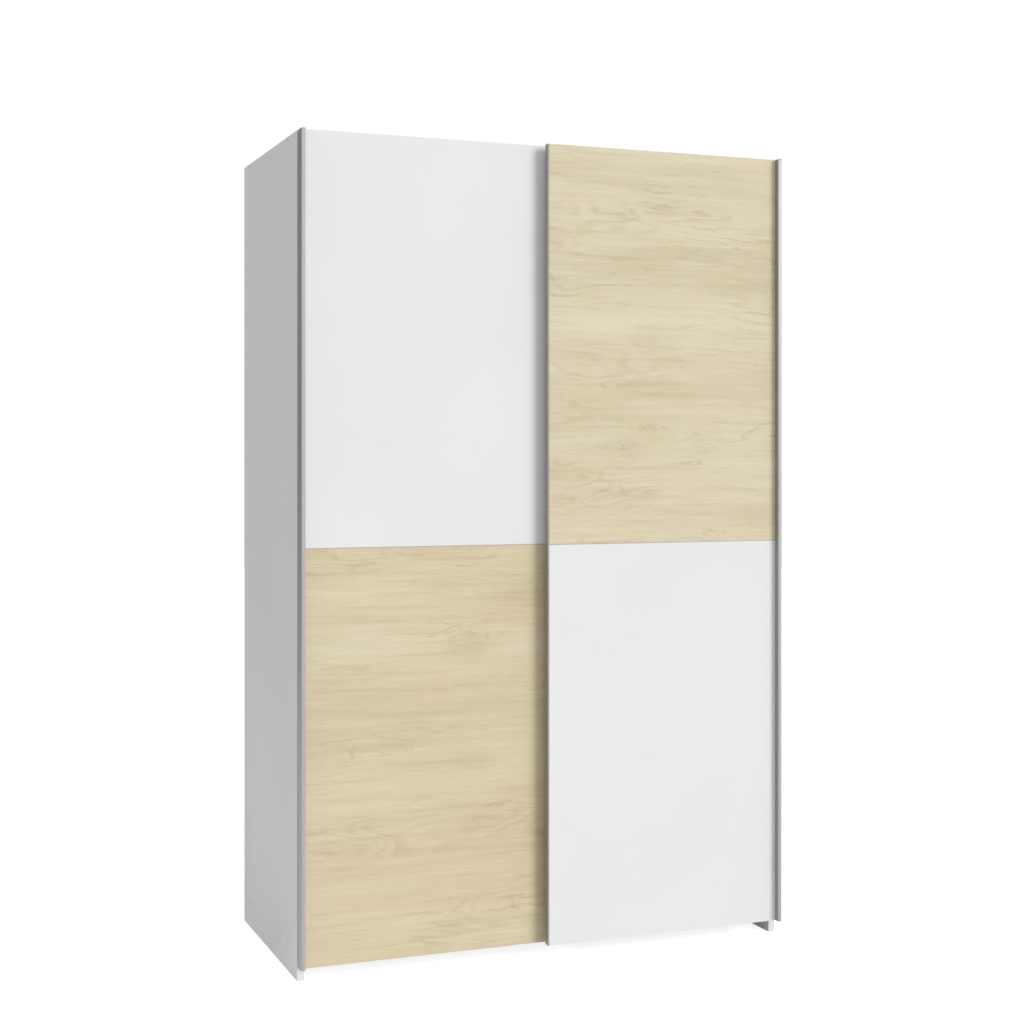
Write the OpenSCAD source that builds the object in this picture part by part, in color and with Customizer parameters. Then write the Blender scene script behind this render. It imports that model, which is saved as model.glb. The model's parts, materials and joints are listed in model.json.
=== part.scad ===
// Two-door sliding wardrobe. Millimetres, +Z up, doors facing -Y, origin on the floor under the middle.

/* [Overall] */
// Width over the side panels
width = 1200; // [1000:10:1500]
// Depth from the wall to the front of the front door's grip
depth = 612; // [560:2:700]
// Height of the side panels
height = 1905; // [1700:5:2200]
// Thickness of the carcass boards
board_t = 16; // [15:0.5:22]

/* [Doors] */
// Thickness of the door panels
door_t = 16; // [14:0.5:20]
// Gap between the rear door's grip and the back of the front door
door_pass = 2; // [1.5:0.5:6]
// How far the two closed doors overlap
door_overlap = 30; // [12:1:60]
// Gap from the floor to the bottom of the doors
door_lift = 33; // [26:1:45]
// How far the doors end below the top of the sides
door_drop = 0.5; // [0.5:0.5:3]
// Gap between a door's back and the side panel's front edge
door_gap = 5; // [4:0.5:10]
// How far each door's outer edge stays inside the side panel's outer face
door_inset = 0.5; // [0:0.5:3]
// Width of the grip profile
grip_w = 9.2; // [8:0.2:14]
// How far the grip profile stands in front of the door panel
grip_proud = 16; // [8:0.5:24]
// Wall of the grip profile
grip_wall = 1.5; // [1.2:0.1:2]
// Thickness of the inner edge profile
stile_t = 3; // [1.5:0.5:4]
// Thickness of the strip that shows between the upper and lower panels
joint_t = 1.5; // [1:0.5:3]
// Gap left between the open rear door's edge and the side panel that it slides towards
open_gap = 4; // [2:1:100]

/* [Running gear] */
// Distance from the left side's front edge to the near rib of the track
track_set = 18; // [16:0.5:24]
// Distance between the two ribs of the track
rib_pitch = 28; // [24:0.5:36]
// Radius of a roller over its flanges
roller_r = 12; // [10:0.5:16]
// Height of the roller's flanges past the top of the rib
flange_h = 2; // [1.8:0.1:3]
// Width of a roller
roller_w = 8; // [6:0.5:10]
// Radius of the roller axles
axle_r = 3; // [2.5:0.25:4]
// Thickness of the steel hangers and guides
bracket_t = 1.8; // [1.5:0.1:2.5]
// Distance from a door's edge to the middle of its hanger
hanger_inset = 60; // [45:1:90]

/* [Interior] */
// Height of the bottom panel's underside
bottom_z = 55; // [45:1:90]
// Gap between the top track and the front of the top panel
top_gap = 9; // [6:0.5:30]
// Clear height above the hat shelf
hat_space = 273; // [200:1:450]
// Height of the middle of the hanging rail below the hat shelf
rail_drop = 50; // [45:1:80]
// Thickness of the back panels
back_t = 3; // [2.5:0.5:4]

/* [Hidden] */
$fn = 40;
eps = 0.1;

// Clearances
slip = 0.1;         // around a piece that is pushed or screwed home
running = 0.06;     // between an axle and its roller, on the radius
roller_play = 0.4;  // on each side of a roller, along its axle
rib_gap = 0.3;      // between a roller and the bead of its rib
cross_gap = 0.8;    // between a crossing arm and the top of the rear door
roller_gap = 1.2;   // between a roller and the arm above it
guide_gap = 2;      // between a crossing guide and the bottom of what it passes under

// Colours
white = "#f2f2f0";
oak = "#dccfae";
grey = "#9a9a98";
steel = "#b9bcc0";
nylon = "#e4e4de";

// Planes of the carcass
half_w = width / 2;
inner_x = half_w - board_t;
y_wall = depth / 2;
y_front_door = -depth / 2 + grip_proud;
y_rear_door = y_front_door + door_t + door_pass + grip_proud;
y_left_edge = y_rear_door + door_t + door_gap;
y_right_edge = y_front_door + door_t + door_gap;
top_z = height - board_t;
floor_z = bottom_z + board_t;

// Back panels, held in a rebate of the sides and in the joining profile
joiner_wall = 1.1;
joiner_lip = 12;
joiner_web = 1.5;
y_back = y_wall - joiner_wall - slip - back_t;
rebate_w = board_t / 2;

// Doors: each is drawn with x from its outer edge inwards and y from its front face backwards
door_reach = half_w - door_inset;
door_w = door_reach + door_overlap / 2;
door_z0 = door_lift;
door_z1 = height - door_drop;
door_mid = (door_z0 + door_z1) / 2;
door_travel = inner_x - door_overlap / 2 - open_gap;
panel_x0 = grip_wall + slip;
panel_x1 = door_w - stile_t - slip;
tongue_l = 8;
tongue_t = 2.8;
grip_lip = 1.2;
grip_y1 = door_t + slip + grip_lip;
grip_cap_t = 1.5;

// Track and rollers
rear_arm_drop = 4.5;
rear_arm_z = door_z1 - rear_arm_drop;
front_arm_z = door_z1 + cross_gap;
axle_z = rear_arm_z - roller_gap - roller_r;
roller_run_r = roller_r - flange_h;
rib_top = axle_z - roller_run_r;
bead_r = 1.5;
bead_z = rib_top - bead_r;
rib_t = 2;
track_base_t = 2;
rib_h = 9;
board_top = rib_top - rib_h;
y_near_rib = y_left_edge + track_set;
y_far_rib = y_near_rib + rib_pitch;
track_side = 13;
y_inner = y_far_rib + track_side + top_gap;
board_y0 = y_left_edge + 4;
board_y1 = y_inner - 2;
end_gap = 1;
stop_l = 18;
stop_gap = 0.5;
stop_h = 14;

// Hangers
hanger_w = 40;
hanger_foot = 55;
drop_gap = 2;
drop_below = 8;
axle_head_r = 5;
axle_head_t = 1.5;
collar_r = 4.6;
rear_wheel_y = y_near_rib - y_rear_door;
front_wheel_y = y_far_rib - y_front_door;

// Bottom guides and their rail
rail_h = 14;
rail_z = bottom_z - rail_h;
groove_w = 7;
groove_h = 12;
guide_w = 30;
guide_plate = 42;
guide_pin_r = 3;
guide_pin_top = rail_z + groove_h - 2;
guide_end = 7;
rail_gap = 3.2;
rear_guide_z = rail_z - bracket_t - rail_gap;
front_guide_z = min(door_z0, rear_guide_z) - bracket_t - guide_gap;
guide_top = rear_guide_z + guide_plate;

// Screws: radius of head, head depth, radius of shank, length
wood_screw = [4, bracket_t, 2, 13];
grip_screw = [2.6, 1, 1.5, 11];
carcass_screw = [5, 3, 3.5, 50];
cap_r = 6.5;
cap_t = 1;
dowel_r = 4;
dowel_in_side = 10;
dowel_in_board = 20;
cam_r = 7.5;
cam_h = 12.5;
cam_bolt_r = 3;
cam_reach = 34;
nail = [2.2, 0.8, 1, 18];

// Screw and dowel rows through the sides, from the top panel's front and from the wall
screw_ys = [y_inner + 17, y_wall - 66];
dowel_ys = [y_inner + 62, y_wall - 111];
plinth_y = screw_ys[1] - board_t / 2;
plinth_xs = [-inner_x / 2, inner_x / 2];
foot_y = y_inner + 62;
foot_r = 20;
foot_plate_r = 30;
foot_plate_t = 4;

// Where the carcass screws start and the turn that points them into the wood
screw_sites = concat(
    [for (s = [-1, 1], y = screw_ys, z = [height - board_t / 2, bottom_z + board_t / 2])
        [[s * half_w, y, z], [0, -90 * s, 0]]],
    [for (y = [y_inner + 60, screw_ys[1] - 30]) [[0, y, height], [180, 0, 0]]],
    [for (y = [y_inner + 120, screw_ys[1] - 90]) [[0, y, bottom_z], [0, 0, 0]]],
    [for (x = plinth_xs) [[x, plinth_y + board_t / 2, floor_z], [180, 0, 0]]]
);
dowel_sites = concat(
    [for (s = [-1, 1], y = dowel_ys, z = [height - board_t / 2, bottom_z + board_t / 2])
        [s, y, z]],
    [for (s = [-1, 1]) [s, board_y1 - 14, board_top - board_t / 2]]
);
cam_y = board_y0 + 20;
cam_z = board_top - board_t / 2;

// Interior fittings
divider_t = board_t;
bay_x0 = divider_t / 2;
shelf_y0 = y_inner + 12;
shelf_y1 = y_back - 4;
shelf_gap = 1;
shelf_count = 4;
hat_shelf_z = top_z - hat_space - board_t;
bay_h = top_z - floor_z;
shelf_zs = [for (i = [1:shelf_count]) floor_z + i * bay_h / (shelf_count + 1) - board_t / 2];
pin_ys = [shelf_y0 + 35, shelf_y1 - 35];
pin_r = 2.5;
pin_in = 7;
pin_tab = [9, 10, 2];
rail_h2 = 30;
rail_w = 15;
rail_wall = 1.2;
rail_z2 = hat_shelf_z - rail_drop;
rail_y = (shelf_y0 + shelf_y1) / 2;
cup_t = 2;
cup_l = 12;
cup_wall = 2;
cup_plate = [34, 58];

// Wall brackets, inside under the top panel against the back
wall_bracket_w = 40;
wall_bracket_leg = 40;
wall_bracket_t = 2;
wall_hole_r = 2.5;
wall_hole_drop = 22;
wall_bracket_xs = [-0.75 * inner_x, 0.75 * inner_x];

// Back nails: top and bottom rows, then up the sides
nail_top_xs = [for (s = [-1, 1], i = [0:2]) s * inner_x * (0.15 + 0.35 * i)];
nail_side_zs = [for (i = [1:5]) floor_z + i * bay_h / 6];

// A block from its lowest to its highest corner
module block(lo, hi) {
    translate(lo) cube(hi - lo);
}

// A bar along x of a shape drawn in y and z
module bar_x(x0, x1) {
    translate([x0, 0, 0]) rotate([90, 0, 90]) linear_extrude(x1 - x0) children();
}

// A screw or nail pointing along +z from its head: [head radius, head depth, shank radius, length]
module pan_screw(s, gap = 0) {
    cylinder(r = s[0] + gap, h = s[1]);
    cylinder(r = s[2] + gap, h = s[3] + gap);
}

// A countersunk screw pointing along +z, its head flush with z = 0
module sunk_screw(s, gap = 0) {
    cylinder(r1 = s[0] + gap, r2 = s[2] + gap, h = s[1]);
    cylinder(r = s[2] + gap, h = s[3] + gap);
}

module carcass_screw_cuts() {
    for (s = screw_sites)
        translate(s[0]) rotate(s[1]) {
            translate([0, 0, -eps]) cylinder(r = cap_r + slip, h = cap_t + eps);
            translate([0, 0, cap_t]) pan_screw(carcass_screw, slip);
        }
}

module dowel_at(s, gap = 0) {
    translate([s[0] * (inner_x + dowel_in_side + gap), s[1], s[2]])
        rotate([0, -90 * s[0], 0])
            cylinder(r = dowel_r + gap, h = dowel_in_side + dowel_in_board + 2 * gap);
}

module dowel_cuts() {
    for (s = dowel_sites) dowel_at(s, slip);
}

module cam_bolt_at(side, gap = 0) {
    translate([side * (inner_x + dowel_in_side + gap), cam_y, cam_z])
        rotate([0, -90 * side, 0])
            cylinder(r = cam_bolt_r + gap, h = dowel_in_side + cam_reach + 2 * gap);
}

module cam_at(side, gap = 0) {
    translate([side * (inner_x - cam_reach), cam_y, board_top - board_t - gap])
        cylinder(r = cam_r + gap, h = cam_h + 2 * gap);
}

// The nails' places on the rear faces: every site is [x, z]
function nail_sites(side) = concat(
    [for (x = nail_top_xs, z = [height - board_t / 2, bottom_z + board_t / 2])
        if (x * side > 0) [x, z]],
    [for (z = nail_side_zs) [side * (inner_x + rebate_w / 2), z]]
);

module nails(side, gap = 0) {
    for (p = nail_sites(side))
        translate([p[0], y_back + back_t + nail[1], p[1]])
            rotate([90, 0, 0]) pan_screw(nail, gap);
}

// Every shelf pin as [side of the compartment it stands in, x of the wall, y, underside of the shelf]
pin_sites = concat(
    [for (z = shelf_zs, y = pin_ys, e = [[1, bay_x0], [-1, inner_x]]) [e[0], e[1], y, z]],
    [for (y = pin_ys, e = [[1, -inner_x], [-1, -bay_x0]]) [e[0], e[1], y, hat_shelf_z]]
);

module pin_at(p) {
    translate([p[1], p[2], p[3]]) {
        translate([0, 0, -pin_r]) rotate([0, 90, 0])
            translate([0, 0, p[0] > 0 ? -pin_in : -pin_tab[0]])
                cylinder(r = pin_r, h = pin_in + pin_tab[0]);
        block([p[0] > 0 ? 0 : -pin_tab[0], -pin_tab[1] / 2, -pin_tab[2]],
              [p[0] > 0 ? pin_tab[0] : 0, pin_tab[1] / 2, 0]);
    }
}

module pin_cuts() {
    for (p = pin_sites)
        translate([p[1], p[2], p[3] - pin_r]) rotate([0, 90, 0])
            translate([0, 0, p[0] > 0 ? -pin_in - slip : -eps])
                cylinder(r = pin_r + slip, h = pin_in + slip + eps);
}

// Wood screws of the carcass fittings: [head position, turn]
rail_screw_dz = cup_plate[1] / 2 - 8;
fitting_sites = concat(
    [for (x = [-0.8, -0.4, 0, 0.4, 0.8])
        [[x * inner_x, (y_near_rib + y_far_rib) / 2, board_top + track_base_t], [180, 0, 0]]],
    [for (x = [-0.8, -0.4, 0, 0.4, 0.8])
        [[x * inner_x, (y_near_rib + y_far_rib) / 2, rail_z], [0, 0, 0]]],
    [for (e = [[-inner_x + cup_t, -1], [-bay_x0 - cup_t, 1]], dz = [-rail_screw_dz, rail_screw_dz])
        [[e[0], rail_y, rail_z2 + dz], [0, 90 * e[1], 0]]],
    [for (x = wall_bracket_xs, dx = [-10, 10])
        [[x + dx, y_back - wall_bracket_leg / 2, top_z - wall_bracket_t], [0, 0, 0]]],
    [for (a = [45, 135, 225, 315])
        [[(foot_plate_r - 6) * cos(a), foot_y + (foot_plate_r - 6) * sin(a), bottom_z - foot_plate_t],
         [0, 0, 0]]]
);

module fitting_cuts() {
    for (s = fitting_sites) translate(s[0]) rotate(s[1]) sunk_screw(fitting_screw(s), slip);
}

// The guide rail's screws are longer, because they pass through the rail first
function fitting_screw(s) =
    s[0][2] == rail_z ? [wood_screw[0], wood_screw[1], wood_screw[2], rail_h + 12]
                      : [wood_screw[0], wood_screw[1], wood_screw[2], wood_screw[3]];

// ---- Carcass ----

module side_panel(side, y_edge) {
    color(white) difference() {
        block([side > 0 ? inner_x : -half_w, y_edge, 0], [side > 0 ? half_w : -inner_x, y_wall, height]);
        block([side > 0 ? inner_x - eps : -inner_x - rebate_w, y_back, bottom_z],
              [side > 0 ? inner_x + rebate_w : -inner_x + eps, y_wall + eps, height + eps]);
        carcass_screw_cuts();
        dowel_cuts();
        pin_cuts();
        cam_bolt_at(side, slip);
        nails(side, slip);
        if (side < 0) fitting_cuts();
    }
}

module left_side_panel() {
    side_panel(-1, y_left_edge);
}

module right_side_panel() {
    side_panel(1, y_right_edge);
}

module top_panel() {
    color(white) difference() {
        block([-inner_x, y_inner, top_z], [inner_x, y_back, height]);
        carcass_screw_cuts();
        dowel_cuts();
        fitting_cuts();
        nails(-1, slip);
        nails(1, slip);
    }
}

module bottom_panel() {
    color(white) difference() {
        block([-inner_x, board_y0, bottom_z], [inner_x, y_back, floor_z]);
        carcass_screw_cuts();
        dowel_cuts();
        fitting_cuts();
        nails(-1, slip);
        nails(1, slip);
    }
}

module track_board() {
    color(white) difference() {
        block([-inner_x, board_y0, board_top - board_t], [inner_x, board_y1, board_top]);
        dowel_cuts();
        fitting_cuts();
        for (s = [-1, 1]) {
            cam_bolt_at(s, slip);
            cam_at(s, slip);
        }
    }
}

module centre_divider() {
    color(white) difference() {
        block([-bay_x0, y_inner, floor_z], [bay_x0, y_back - joiner_wall - 2 * slip, top_z]);
        carcass_screw_cuts();
        pin_cuts();
        fitting_cuts();
    }
}

module rear_plinth() {
    color(white) difference() {
        block([-inner_x + slip, plinth_y, 0], [inner_x - slip, plinth_y + board_t, bottom_z]);
        carcass_screw_cuts();
    }
}

module back_panel(side) {
    color(white) difference() {
        block([side > 0 ? joiner_web / 2 + slip : -inner_x - rebate_w + slip, y_back, bottom_z + 1],
              [side > 0 ? inner_x + rebate_w - slip : -joiner_web / 2 - slip, y_back + back_t, height - 1]);
        nails(side, slip);
        for (x = wall_bracket_xs)
            translate([x, y_back - eps, top_z - wall_hole_drop]) rotate([-90, 0, 0])
                cylinder(r = wall_hole_r + 1, h = back_t + 2 * eps);
    }
}

module back_panel_left() {
    back_panel(-1);
}

module back_panel_right() {
    back_panel(1);
}

module back_joining_profile() {
    y0 = y_back - slip - joiner_wall;
    color(white) translate([0, 0, floor_z + slip]) linear_extrude(bay_h - 2 * slip) {
        translate([-joiner_lip, y0]) square([2 * joiner_lip, joiner_wall]);
        translate([-joiner_lip, y_wall - joiner_wall]) square([2 * joiner_lip, joiner_wall]);
        translate([-joiner_web / 2, y0]) square([joiner_web, y_wall - y0]);
    }
}

module shelf_board(x0, x1, z) {
    color(white) block([x0 + shelf_gap, shelf_y0, z], [x1 - shelf_gap, shelf_y1, z + board_t]);
}

module hat_shelf() {
    shelf_board(-inner_x, -bay_x0, hat_shelf_z);
}

module shelf_1() {
    shelf_board(bay_x0, inner_x, shelf_zs[0]);
}

module shelf_2() {
    shelf_board(bay_x0, inner_x, shelf_zs[1]);
}

module shelf_3() {
    shelf_board(bay_x0, inner_x, shelf_zs[2]);
}

module shelf_4() {
    shelf_board(bay_x0, inner_x, shelf_zs[3]);
}

module shelf_pins() {
    color(steel) for (p = pin_sites) pin_at(p);
}

// An upright oval of width w and height h in x and y
module oval(w, h) {
    square([w, h - w], center = true);
    for (s = [-1, 1]) translate([0, s * (h - w) / 2]) circle(d = w);
}

module hanging_rail() {
    color(steel) translate([0, rail_y, rail_z2])
        bar_x(-inner_x + cup_t + 1, -bay_x0 - cup_t - 1) difference() {
            oval(rail_w, rail_h2);
            oval(rail_w - 2 * rail_wall, rail_h2 - 2 * rail_wall);
        }
}

// A cup for the rail's end: a screw plate on the wall and a collar around the tube
module rail_cup() {
    linear_extrude(cup_t) oval(cup_plate[0], cup_plate[1]);
    linear_extrude(cup_l) difference() {
        oval(rail_w + 2 * (cup_wall + slip), rail_h2 + 2 * (cup_wall + slip));
        oval(rail_w + 2 * slip, rail_h2 + 2 * slip);
    }
}

module rail_supports() {
    color(steel) difference() {
        union() {
            translate([-inner_x, rail_y, rail_z2]) rotate([90, 0, 90]) rail_cup();
            translate([-bay_x0, rail_y, rail_z2]) rotate([90, 0, -90]) rail_cup();
        }
        fitting_cuts();
    }
}

module carcass_screws() {
    color(steel) for (s = screw_sites)
        translate(s[0]) rotate(s[1]) translate([0, 0, cap_t]) pan_screw(carcass_screw);
}

module screw_caps() {
    color(white) for (s = screw_sites)
        translate(s[0]) rotate(s[1]) cylinder(r = cap_r, h = cap_t);
}

module dowels() {
    color(oak) for (s = dowel_sites) dowel_at(s);
}

module cam_locks() {
    color(steel) difference() {
        for (s = [-1, 1]) cam_at(s);
        for (s = [-1, 1]) cam_bolt_at(s, slip);
    }
}

module cam_bolts() {
    color(steel) for (s = [-1, 1]) cam_bolt_at(s);
}

module back_nails() {
    color(steel) {
        nails(-1);
        nails(1);
    }
}

// One rib with its round bead, standing on the track's base
module rib(y) {
    translate([y - rib_t / 2, board_top]) square([rib_t, bead_z - board_top]);
    translate([y, bead_z]) circle(r = bead_r);
}

module top_track() {
    color(steel) difference() {
        bar_x(-inner_x + end_gap, inner_x - end_gap) {
            translate([y_near_rib - track_side, board_top])
                square([rib_pitch + 2 * track_side, track_base_t]);
            rib(y_near_rib);
            rib(y_far_rib);
        }
        fitting_cuts();
    }
}

module bottom_guide_rail() {
    color(grey) difference() {
        bar_x(-inner_x + end_gap, inner_x - end_gap) difference() {
            translate([y_near_rib - track_side, rail_z]) square([rib_pitch + 2 * track_side, rail_h]);
            for (y = [y_near_rib, y_far_rib])
                translate([y - groove_w / 2, rail_z - eps]) square([groove_w, groove_h + eps]);
        }
        fitting_cuts();
    }
}

// Middles of a door's rollers, from its outer edge
roller_us = [hanger_inset, door_w - hanger_inset];

// Stops stand on a rib just past the ends of the rollers' travel
module end_stop(x0, y) {
    difference() {
        block([x0, y - roller_w / 2, board_top + track_base_t],
              [x0 + stop_l, y + roller_w / 2, board_top + track_base_t + stop_h]);
        bar_x(x0 - eps, x0 + stop_l + eps) offset_rib(y);
    }
}

// The rib's outline with the clearance of a pushed-on piece
module offset_rib(y) {
    translate([y - rib_t / 2 - slip, board_top]) square([rib_t + 2 * slip, bead_z - board_top]);
    translate([y, bead_z]) circle(r = bead_r + slip);
}

module rib_stops(y) {
    low = -door_reach + roller_us[0] - roller_r - stop_gap - stop_l;
    high = -door_reach + roller_us[1] + door_travel + roller_r + stop_gap;
    end_stop(low, y);
    end_stop(high, y);
}

module track_end_stops() {
    color(grey) {
        rib_stops(y_near_rib);
        mirror([1, 0, 0]) rib_stops(y_far_rib);
    }
}

module centre_foot() {
    color(grey) difference() {
        translate([0, foot_y, 0]) union() {
            cylinder(r = foot_r, h = bottom_z);
            translate([0, 0, bottom_z - foot_plate_t]) cylinder(r = foot_plate_r, h = foot_plate_t);
        }
        fitting_cuts();
        carcass_screw_cuts();
    }
}

module wall_brackets() {
    color(steel) difference() {
        for (x = wall_bracket_xs) {
            block([x - wall_bracket_w / 2, y_back - wall_bracket_leg, top_z - wall_bracket_t],
                  [x + wall_bracket_w / 2, y_back, top_z]);
            block([x - wall_bracket_w / 2, y_back - wall_bracket_t, top_z - wall_bracket_leg],
                  [x + wall_bracket_w / 2, y_back, top_z]);
        }
        fitting_cuts();
        for (x = wall_bracket_xs)
            translate([x, y_back - wall_bracket_t - eps, top_z - wall_hole_drop]) rotate([-90, 0, 0])
                cylinder(r = wall_hole_r, h = wall_bracket_t + 2 * eps);
    }
}

module fitting_screws() {
    color(steel) for (s = fitting_sites)
        translate(s[0]) rotate(s[1]) sunk_screw(fitting_screw(s));
}

// ---- Doors ----

module left_place() {
    translate([-door_reach, y_rear_door, 0]) children();
}

module right_place() {
    mirror([1, 0, 0]) translate([-door_reach, y_front_door, 0]) children();
}

// Back face of a hanger's or guide's plate: the front door's plates lie in pockets, flush with its back
rear_plate_y = door_t;
front_plate_y = door_t - bracket_t;

// Screws through the plates: [u, z] from the door's outer edge
function plate_screws(w, z0, z1) =
    [for (u = roller_us, du = [-1, 1], z = [z0, z1]) [u + du * (w / 2 - 8), z]];
door_screw_sites = concat(
    plate_screws(hanger_w, door_z1 - hanger_foot + 10, door_z1 - 18),
    plate_screws(guide_w, guide_top - 31, guide_top - 10)
);

module door_screws(plate_y, gap = 0) {
    for (p = door_screw_sites)
        translate([p[0], plate_y + bracket_t, p[1]]) rotate([90, 0, 0]) sunk_screw(wood_screw, gap);
}

grip_screw_zs = [door_z0 + 60, (door_z0 + door_mid) / 2, door_mid - 60,
                 door_mid + 60, (door_mid + door_z1) / 2, door_z1 - 60];

module grip_screws(gap = 0) {
    for (z = grip_screw_zs)
        translate([grip_w / 2 + 0.8, grip_y1 + grip_screw[1], z]) rotate([90, 0, 0])
            pan_screw(grip_screw, gap);
}

// One panel between the grip and the inner stile, grooved for the stile and for the joint strip
module door_panel(z0, z1, groove_z, plate_y) {
    difference() {
        block([panel_x0, 0, z0], [panel_x1, door_t, z1]);
        block([panel_x1 - tongue_l - slip, (door_t - tongue_t) / 2 - slip, z0 - eps],
              [panel_x1 + eps, (door_t + tongue_t) / 2 + slip, z1 + eps]);
        block([panel_x0 - eps, (door_t - tongue_t) / 2 - slip, groove_z - tongue_l - slip],
              [panel_x1 + eps, (door_t + tongue_t) / 2 + slip, groove_z + tongue_l + slip]);
        grip_screws(slip);
        door_screws(plate_y, slip);
        if (plate_y < door_t)
            for (u = roller_us) {
                block([u - hanger_w / 2 - slip, plate_y - slip, door_z1 - hanger_foot - slip],
                      [u + hanger_w / 2 + slip, door_t + eps, door_z1 + eps]);
                block([u - guide_w / 2 - slip, plate_y - slip, door_z0 - eps],
                      [u + guide_w / 2 + slip, door_t + eps, guide_top + slip]);
            }
    }
}

module upper_panel(plate_y) {
    door_panel(door_mid + joint_t / 2 + slip, door_z1, door_mid, plate_y);
}

module lower_panel(plate_y) {
    door_panel(door_z0, door_mid - joint_t / 2 - slip, door_mid, plate_y);
}

// Hollow bar in front, a web past the panel's edge and a lip behind the panel
module grip() {
    difference() {
        translate([0, 0, door_z0 + grip_cap_t])
            linear_extrude(door_z1 - door_z0 - 2 * grip_cap_t) difference() {
                translate([0, -grip_proud]) square([grip_w, grip_y1 + grip_proud]);
                translate([grip_wall, -slip]) square([grip_w, door_t + 2 * slip]);
                translate([grip_wall, grip_wall - grip_proud])
                    square([grip_w - 2 * grip_wall, grip_proud - slip - 2 * grip_wall]);
            }
        grip_screws(slip);
    }
}

// A plug for each end of the grip: a plate over the profile and a block inside the hollow
module grip_caps() {
    for (e = [[door_z0, 1], [door_z1, -1]])
        translate([0, 0, e[0]]) mirror([0, 0, e[1] < 0 ? 1 : 0]) {
            block([0, -grip_proud, 0], [grip_w, -slip, grip_cap_t]);
            block([0, -grip_proud, 0], [grip_wall, grip_y1, grip_cap_t]);
            block([grip_wall + slip, grip_wall + slip - grip_proud, 0],
                  [grip_w - grip_wall - slip, -2 * slip - grip_wall, grip_cap_t + 10]);
        }
}

// Flat edge strip with a tongue in the panels' groove
module inner_stile() {
    translate([0, 0, door_z0]) linear_extrude(door_z1 - door_z0) {
        translate([door_w - stile_t, -0.5]) square([stile_t, door_t + 1]);
        translate([panel_x1 - tongue_l, (door_t - tongue_t) / 2])
            square([tongue_l + slip + eps, tongue_t]);
    }
}

// Cross-shaped strip between the two panels, with a tongue up and a tongue down
module joint_strip() {
    x1 = panel_x1 - tongue_l - 2 * slip;
    block([panel_x0, 0, door_mid - joint_t / 2],
          [panel_x1, (door_t - tongue_t) / 2 - 2 * slip, door_mid + joint_t / 2]);
    block([panel_x0, 0, door_mid - joint_t / 2], [x1, door_t, door_mid + joint_t / 2]);
    block([panel_x0, (door_t - tongue_t) / 2, door_mid - tongue_l],
          [x1, (door_t + tongue_t) / 2, door_mid + tongue_l]);
}

// A steel arm from the door's back to its roller: plate, crossing arm and the plate that holds the axle
module hanger(u, plate_y, arm_z, wheel_y) {
    x0 = u - hanger_w / 2;
    x1 = u + hanger_w / 2;
    drop_y = wheel_y + roller_w / 2 + drop_gap;
    difference() {
        union() {
            block([x0, plate_y, door_z1 - hanger_foot], [x1, plate_y + bracket_t, arm_z + bracket_t]);
            block([x0, plate_y, arm_z], [x1, drop_y + bracket_t, arm_z + bracket_t]);
            block([x0 + 5, drop_y, axle_z - drop_below], [x1 - 5, drop_y + bracket_t, arm_z + bracket_t]);
        }
        door_screws(plate_y, slip);
        translate([u, drop_y - eps, axle_z]) rotate([-90, 0, 0])
            cylinder(r = axle_r, h = bracket_t + 2 * eps);
    }
}

module hangers(plate_y, arm_z, wheel_y) {
    for (u = roller_us) hanger(u, plate_y, arm_z, wheel_y);
}

// Rivet with a head in front of the roller, a collar behind it and a closed end behind the hanger
module axle(u, wheel_y) {
    y0 = wheel_y - roller_w / 2 - roller_play;
    drop_y = wheel_y + roller_w / 2 + drop_gap;
    translate([u, 0, axle_z]) rotate([-90, 0, 0]) {
        translate([0, 0, y0 - axle_head_t]) cylinder(r = axle_head_r, h = axle_head_t);
        translate([0, 0, y0 - eps]) cylinder(r = axle_r, h = drop_y + bracket_t + 1 - y0 + eps);
        translate([0, 0, drop_y - drop_gap + roller_play])
            cylinder(r = collar_r, h = drop_gap - roller_play);
        translate([0, 0, drop_y + bracket_t]) cylinder(r = collar_r, h = 1);
    }
}

module axles(wheel_y) {
    for (u = roller_us) axle(u, wheel_y);
}

// Flanged roller with a round groove that clears the rib's bead by rib_gap
module roller(u, wheel_y) {
    translate([u, wheel_y, axle_z]) rotate([-90, 0, 0])
        rotate_extrude($fn = 64) difference() {
            translate([axle_r + running, -roller_w / 2])
                square([roller_r - axle_r - running, roller_w]);
            translate([roller_run_r + bead_r, 0]) circle(r = bead_r + rib_gap);
        }
}

// A steel foot from the door's back to a pin that runs in the rail's groove
module guide(u, plate_y, arm_z, pin_y) {
    x0 = u - guide_w / 2;
    x1 = u + guide_w / 2;
    difference() {
        union() {
            block([x0, plate_y, arm_z], [x1, plate_y + bracket_t, guide_top]);
            block([x0, plate_y, arm_z], [x1, pin_y + guide_end, arm_z + bracket_t]);
            translate([u, pin_y, arm_z]) cylinder(r = guide_pin_r, h = guide_pin_top - arm_z);
        }
        door_screws(plate_y, slip);
    }
}

module guides(plate_y, arm_z, pin_y) {
    for (u = roller_us) guide(u, plate_y, arm_z, pin_y);
}

module left_door_upper_panel() {
    color(white) left_place() upper_panel(rear_plate_y);
}

module left_door_lower_panel() {
    color(oak) left_place() lower_panel(rear_plate_y);
}

module left_door_grip() {
    color(grey) left_place() grip();
}

module left_door_grip_screws() {
    color(steel) left_place() grip_screws();
}

module left_door_inner_stile() {
    color(grey) left_place() inner_stile();
}

module left_door_joint_strip() {
    color(grey) left_place() joint_strip();
}

module left_door_hangers() {
    color(steel) left_place() hangers(rear_plate_y, rear_arm_z, rear_wheel_y);
}

module left_door_axles() {
    color(steel) left_place() axles(rear_wheel_y);
}

module left_door_outer_roller() {
    color(nylon) left_place() roller(roller_us[0], rear_wheel_y);
}

module left_door_inner_roller() {
    color(nylon) left_place() roller(roller_us[1], rear_wheel_y);
}

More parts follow.
